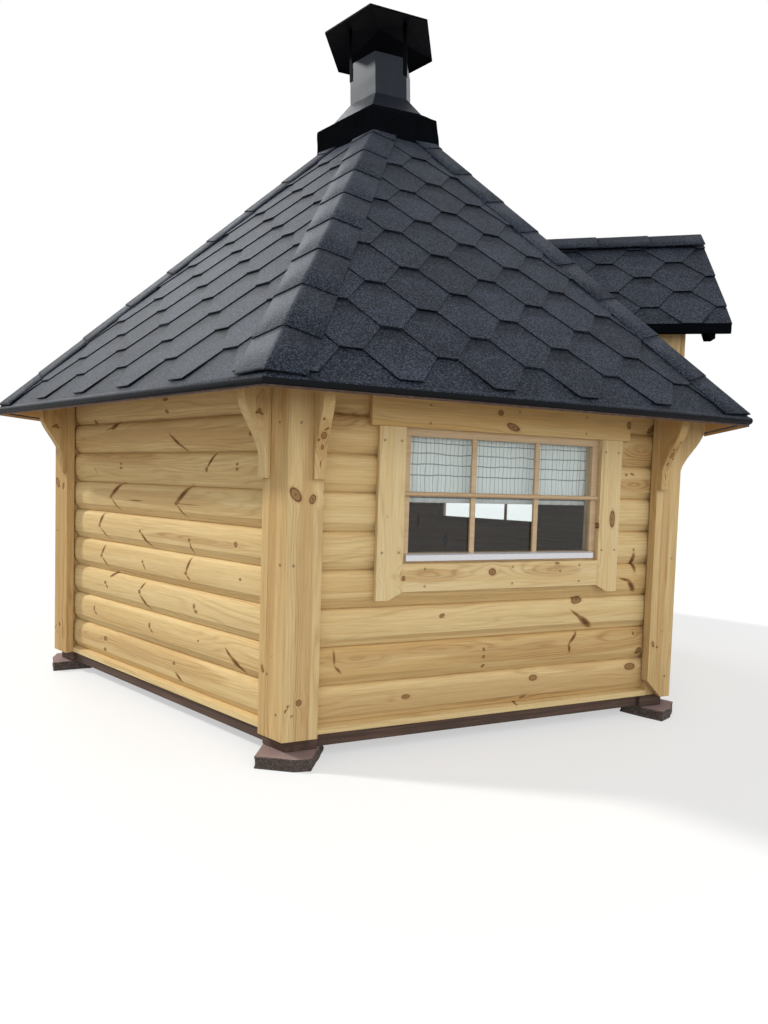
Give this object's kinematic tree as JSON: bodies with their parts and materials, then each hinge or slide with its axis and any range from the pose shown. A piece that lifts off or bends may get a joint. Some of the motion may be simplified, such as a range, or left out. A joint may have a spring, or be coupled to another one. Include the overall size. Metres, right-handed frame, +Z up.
{
  "type": "grill cabin",
  "caption": "Hexagonal log grill cabin with a steep shingled roof, round-log walls, glazed windows, a gabled door porch, scrolled eave brackets and a capped hexagonal flue.",
  "frame": {"origin": "on the ground under the middle of the outline seen from above, with the door roof counted; the middle of the six-sided plan is 30 mm from it towards -X", "axes": "+Z up; +X out through the door wall; +Y to the right of somebody who looks out of the door, so one corner of the plan points to -Y"},
  "size_m": [3.308, 3.7504, 3.4572],
  "materials": {
    "stone": "rough broken concrete slab",
    "dark_timber": "brown-stained timber",
    "bitumen_shingle": "charcoal mineral granules",
    "roofing_felt": "black granular felt",
    "flue_metal": "black satin enamel",
    "black_iron": "black satin",
    "glass": "clear double glazing",
    "aluminium": "satin",
    "pale_trim": "pale planed pine",
    "pine_boards": "planed knotty pine",
    "pine_logs": "profiled knotty pine",
    "curtain_cloth": "pale checked cotton"
  },
  "bodies": {
    "root": {"corner_stones": "stone", "base_frame": "dark_timber", "floor": "pine_logs", "wall_left_front": "pine_logs", "wall_left_rear": "pine_logs", "wall_rear": "pine_logs", "wall_right_rear": "pine_logs", "wall_right_front": "pine_logs", "wall_door_left": "pine_logs", "wall_door_right": "pine_logs", "corner_post_1": "pine_boards", "corner_post_2": "pine_boards", "corner_post_3": "pine_boards", "corner_post_4": "pine_boards", "corner_post_5": "pine_boards", "corner_post_6": "pine_boards", "eave_brackets": "pine_boards", "window_frame_left": "pale_trim", "window_frame_right": "pale_trim", "window_frame_rear": "pale_trim", "window_casing_left": "pale_trim", "window_casing_right": "pale_trim", "window_casing_rear": "pale_trim", "window_panes": "glass", "window_sills": "aluminium", "window_curtains": "curtain_cloth", "roof_left_front": "bitumen_shingle", "roof_door_side": "bitumen_shingle", "roof_right_front": "bitumen_shingle", "roof_right_rear": "bitumen_shingle", "roof_rear": "bitumen_shingle", "roof_left_rear": "bitumen_shingle", "eave_edging": "bitumen_shingle", "door_surround": "pine_boards", "door_sill": "dark_timber", "door_frame": "pine_boards", "door_front": "pine_boards", "door_leaf": "pine_boards", "door_fittings": "black_iron", "dormer_roof_left": "bitumen_shingle", "dormer_roof_right": "bitumen_shingle", "dormer_trim": "pine_boards", "smoke_collar": "roofing_felt", "flue_stem": "flue_metal", "flue_cap": "flue_metal"}
  },
  "joints": []
}
